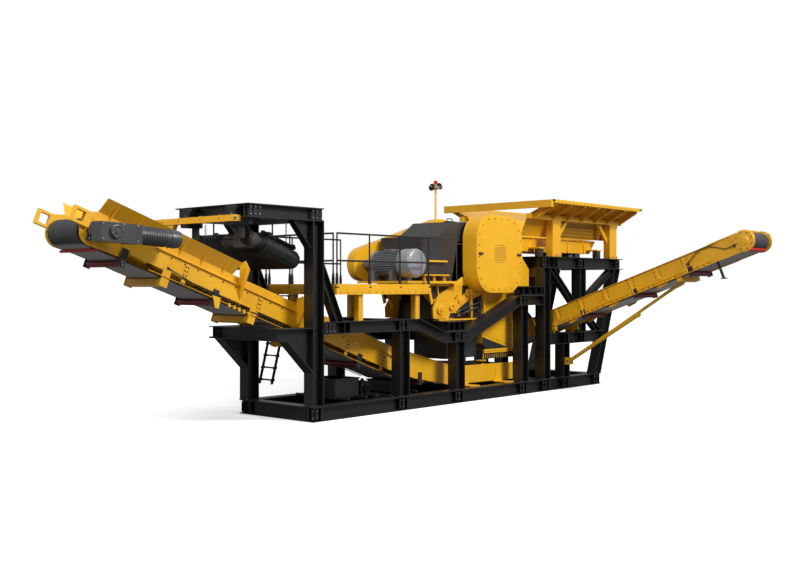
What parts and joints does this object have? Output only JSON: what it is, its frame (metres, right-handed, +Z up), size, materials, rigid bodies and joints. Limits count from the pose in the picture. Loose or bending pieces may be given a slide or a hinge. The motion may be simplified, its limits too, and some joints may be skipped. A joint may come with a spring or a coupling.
{
  "type": "jaw crusher plant",
  "caption": "Fixed jaw crushing plant on a black steel frame, with a flared hopper, feeder, guarded jaw crusher, main and side conveyors, belt magnet and platform.",
  "frame": {"origin": "middle of the base frame, on the ground", "axes": "+X along the base from the discharge end to the hopper end, -Y towards the side conveyor, +Z up"},
  "size_m": [18.8132, 9.045, 5.79],
  "materials": {
    "frame_black": "satin near-black paint on rolled sections",
    "plant_yellow": "satin golden yellow paint",
    "bracket_dark": "satin dark brackets",
    "motor_grey": "satin dark grey gearmotor paint",
    "belt_rubber": "matte conveyor belt",
    "drum_dark": "lagged drum",
    "roller_red": "dark red rollers",
    "jaw_steel": "worn manganese steel jaws",
    "cover_grey": "satin dark grey covers",
    "motor_silver": "silver grey motor paint",
    "skirt_rubber": "dark red and black rubber",
    "rail_black": "satin black tube",
    "spring_dark": "dark springs",
    "magnet_black": "satin black magnet",
    "mast_yellow": "satin yellow pole"
  },
  "bodies": {
    "plant": {"base_beams": "frame_black", "cross_beams": "frame_black", "posts_near": "frame_black", "posts_far": "frame_black", "upper_chord_near": "frame_black", "upper_chord_far": "frame_black", "gantry_beams": "frame_black", "leaning_legs": "frame_black", "mid_beams": "frame_black", "feeder_beams": "frame_black", "braces": "frame_black", "crusher_mounts": "frame_black", "hopper_wall_near": "plant_yellow", "hopper_wall_far": "plant_yellow", "hopper_back": "plant_yellow", "hopper_posts": "plant_yellow", "hopper_beams": "plant_yellow", "main_side_plates": "plant_yellow", "main_flares": "plant_yellow", "belt_cross_members": "plant_yellow", "roller_brackets": "bracket_dark", "main_head_brackets": "plant_yellow", "main_gearmotor": "motor_grey", "conveyor_supports": "plant_yellow", "main_belt": "belt_rubber", "tail_drums": "drum_dark", "side_plates": "plant_yellow", "side_belt": "belt_rubber", "side_hood": "plant_yellow", "side_strut": "plant_yellow", "crusher_sides": "plant_yellow", "jaws": "jaw_steel", "drive_covers": "cover_grey", "flywheel_guard": "plant_yellow", "belt_guard": "plant_yellow", "motor": "motor_silver", "motor_base": "plant_yellow", "discharge_chute": "plant_yellow", "rubber_skirts": "skirt_rubber", "platform_deck": "plant_yellow", "platform_legs": "plant_yellow", "handrails": "rail_black", "ladder": "rail_black", "feeder_pan": "plant_yellow", "feeder_springs": "spring_dark", "fines_chute": "plant_yellow", "magnet_belt": "magnet_black", "magnet_body": "magnet_black", "magnet_motor": "magnet_black", "yellow_beam": "plant_yellow", "mast": "mast_yellow"},
    "main_head_drum": {"main_head_drum": "drum_dark"},
    "side_head_drum": {"side_head_drum": "drum_dark"},
    "main_roller_1": {"main_roller_1": "roller_red"},
    "main_roller_2": {"main_roller_2": "roller_red"},
    "main_roller_3": {"main_roller_3": "roller_red"},
    "main_roller_4": {"main_roller_4": "roller_red"},
    "side_roller_1": {"side_roller_1": "roller_red"},
    "side_roller_2": {"side_roller_2": "roller_red"},
    "side_roller_3": {"side_roller_3": "roller_red"}
  },
  "joints": [
    {"name": "main_head_drum_spin", "type": "hinge", "parent": "plant", "child": "main_head_drum", "pos_m": [-10.99, 0, 3.98], "axis": [0, 1, 0], "continuous": true},
    {"name": "side_head_drum_spin", "type": "hinge", "parent": "plant", "child": "side_head_drum", "pos_m": [3.975, -6.85, 4.10442], "axis": [1, 0, 0], "continuous": true},
    {"name": "main_roller_1_spin", "type": "hinge", "parent": "plant", "child": "main_roller_1", "pos_m": [-10.3635, 0, 3.39854], "axis": [0, 1, 0], "continuous": true},
    {"name": "main_roller_2_spin", "type": "hinge", "parent": "plant", "child": "main_roller_2", "pos_m": [-8.21031, 0, 2.62992], "axis": [0, 1, 0], "continuous": true},
    {"name": "main_roller_3_spin", "type": "hinge", "parent": "plant", "child": "main_roller_3", "pos_m": [-3.954, 0, 1.11057], "axis": [0, 1, 0], "continuous": true},
    {"name": "main_roller_4_spin", "type": "hinge", "parent": "plant", "child": "main_roller_4", "pos_m": [-1.71692, 0, 0.54001], "axis": [0, 1, 0], "continuous": true},
    {"name": "side_roller_1_spin", "type": "hinge", "parent": "plant", "child": "side_roller_1", "pos_m": [3.975, -2.24283, 2.13661], "axis": [1, 0, 0], "continuous": true},
    {"name": "side_roller_2_spin", "type": "hinge", "parent": "plant", "child": "side_roller_2", "pos_m": [3.975, -3.84468, 2.71471], "axis": [1, 0, 0], "continuous": true},
    {"name": "side_roller_3_spin", "type": "hinge", "parent": "plant", "child": "side_roller_3", "pos_m": [3.975, -5.44654, 3.29281], "axis": [1, 0, 0], "continuous": true}
  ]
}
